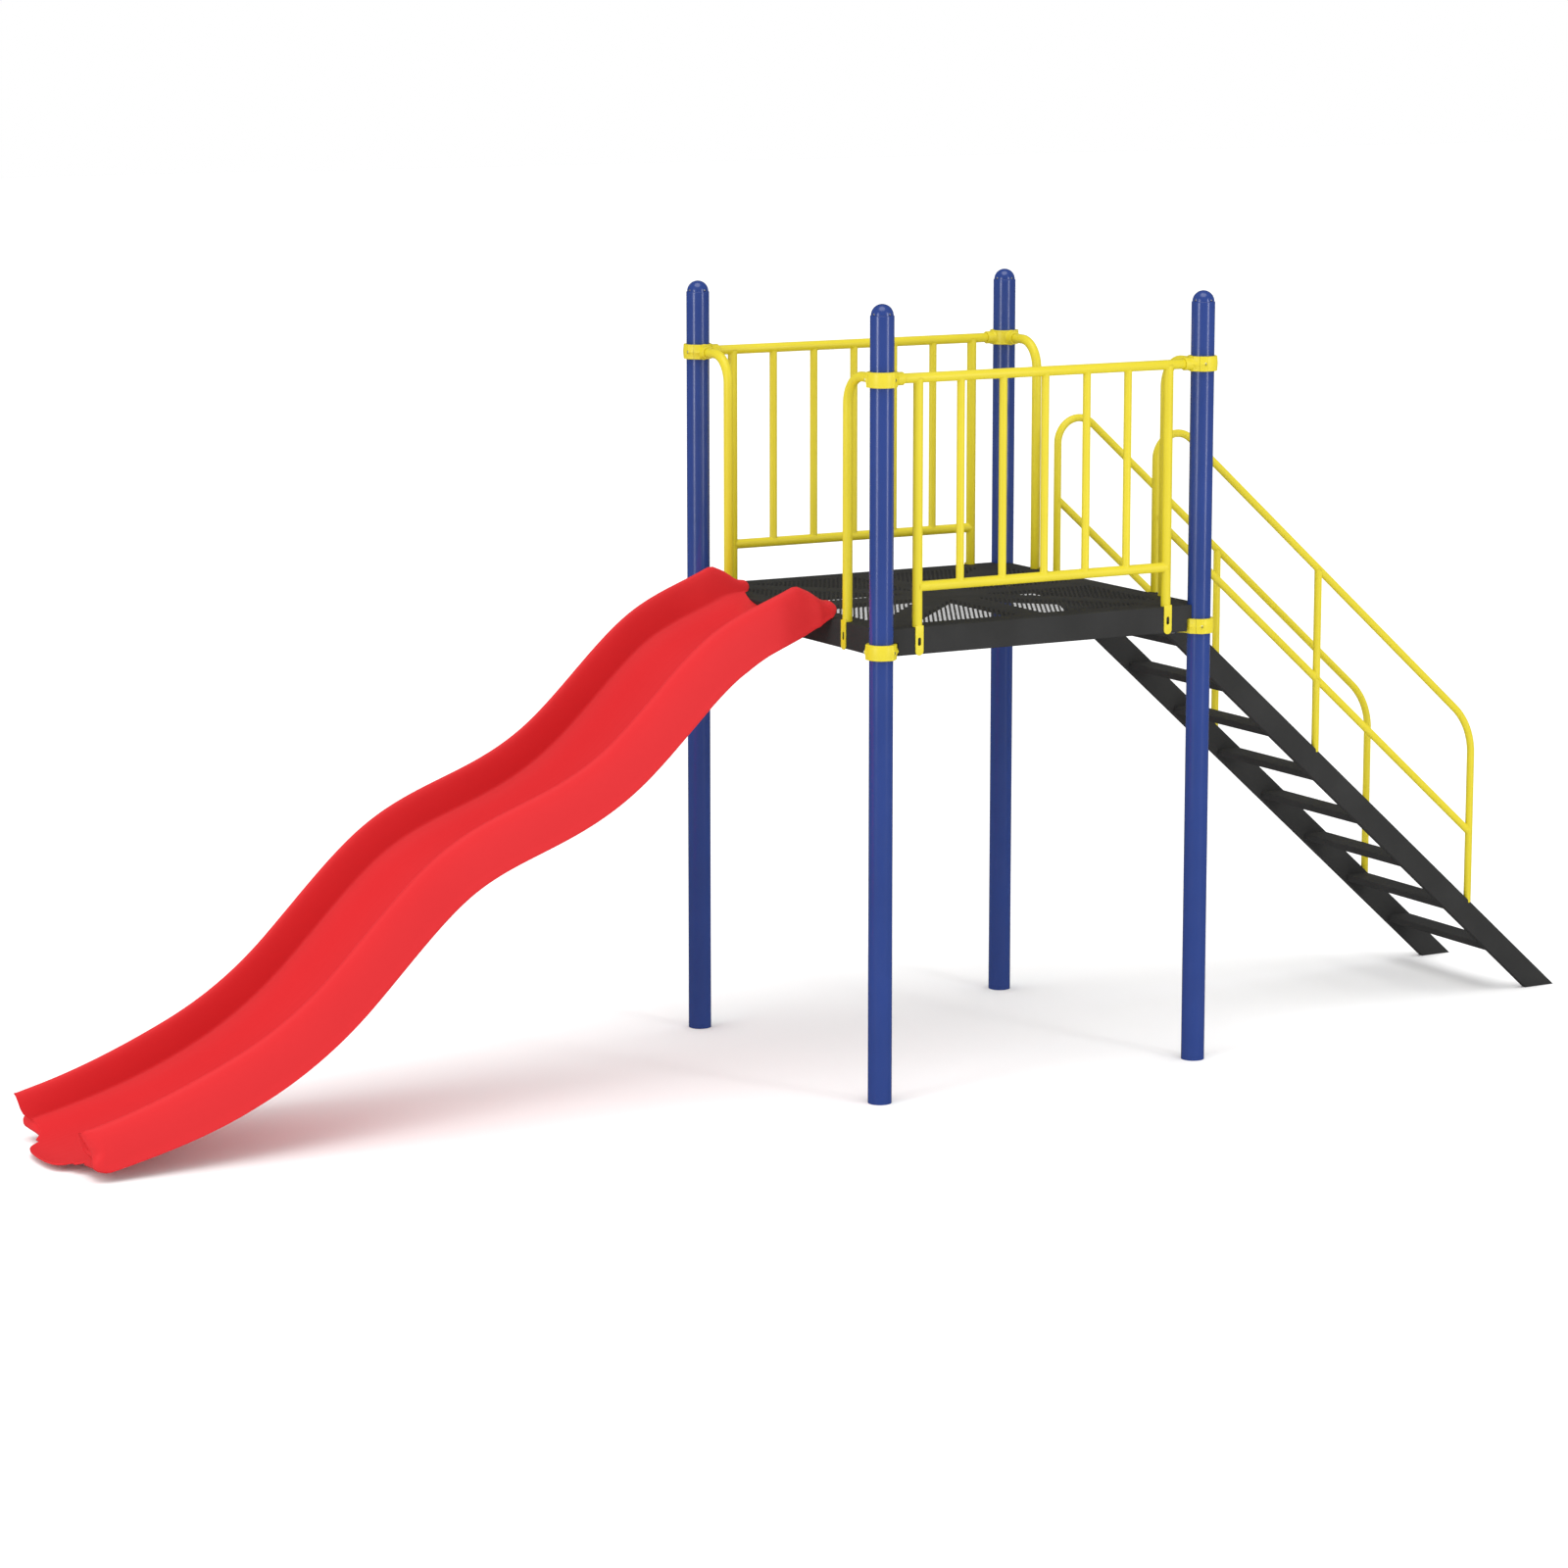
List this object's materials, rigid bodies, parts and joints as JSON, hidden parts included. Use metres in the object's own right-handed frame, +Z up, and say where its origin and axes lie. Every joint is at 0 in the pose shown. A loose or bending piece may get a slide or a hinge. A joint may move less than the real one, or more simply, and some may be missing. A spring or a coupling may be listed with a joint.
{
  "type": "playground slide",
  "caption": "Free-standing playground slide: a four-post deck with guard panels, a moulded wave chute at one end and railed open stairs at the other.",
  "frame": {"origin": "middle of the four posts, on the ground", "axes": "+Z up, +X towards the stairs, -X down the slide"},
  "size_m": [5.542, 1.3068, 2.533],
  "materials": {
    "post_blue": "satin blue powder coat on steel tube",
    "frame_yellow": "gloss yellow powder coat on steel tube and cast clamps",
    "deck_black": "matt black plastic coating on steel sheet",
    "slide_red": "self-coloured red moulded polyethylene with a soft sheen",
    "fastener_steel": "bright zinc plated steel",
    "fastener_black": "black oxide steel"
  },
  "bodies": {
    "root": {"cap_rivets": "fastener_steel", "cap_slide_left": "post_blue", "cap_slide_right": "post_blue", "cap_stair_left": "post_blue", "cap_stair_right": "post_blue", "clamp_screws": "fastener_steel", "deck_bolts": "fastener_steel", "deck_clamp_inner_slide_left": "frame_yellow", "deck_clamp_inner_slide_right": "frame_yellow", "deck_clamp_inner_stair_left": "frame_yellow", "deck_clamp_inner_stair_right": "frame_yellow", "deck_clamp_outer_slide_left": "frame_yellow", "deck_clamp_outer_slide_right": "frame_yellow", "deck_clamp_outer_stair_left": "frame_yellow", "deck_clamp_outer_stair_right": "frame_yellow", "deck_edge_left": "deck_black", "deck_edge_right": "deck_black", "deck_edge_slide": "deck_black", "deck_edge_stair": "deck_black", "deck_nuts": "fastener_steel", "deck_ribs": "deck_black", "deck_seats": "deck_black", "deck_sheet": "deck_black", "foot_plates": "fastener_steel", "guard_left": "frame_yellow", "guard_right": "frame_yellow", "handrail_left": "frame_yellow", "handrail_right": "frame_yellow", "handrail_spigots": "deck_black", "hoop_slide_left": "frame_yellow", "hoop_slide_right": "frame_yellow", "hoop_stair_left": "frame_yellow", "hoop_stair_right": "frame_yellow", "post_slide_left": "post_blue", "post_slide_right": "post_blue", "post_stair_left": "post_blue", "post_stair_right": "post_blue", "slide": "slide_red", "stringer_left": "deck_black", "stringer_right": "deck_black", "tab_nuts": "fastener_black", "tab_studs": "fastener_black", "top_clamp_inner_slide_left": "frame_yellow", "top_clamp_inner_slide_right": "frame_yellow", "top_clamp_inner_stair_left": "frame_yellow", "top_clamp_inner_stair_right": "frame_yellow", "top_clamp_outer_slide_left": "frame_yellow", "top_clamp_outer_slide_right": "frame_yellow", "top_clamp_outer_stair_left": "frame_yellow", "top_clamp_outer_stair_right": "frame_yellow", "tread_1": "deck_black", "tread_2": "deck_black", "tread_3": "deck_black", "tread_4": "deck_black", "tread_5": "deck_black", "tread_6": "deck_black", "tread_7": "deck_black", "tread_8": "deck_black"}
  },
  "joints": []
}
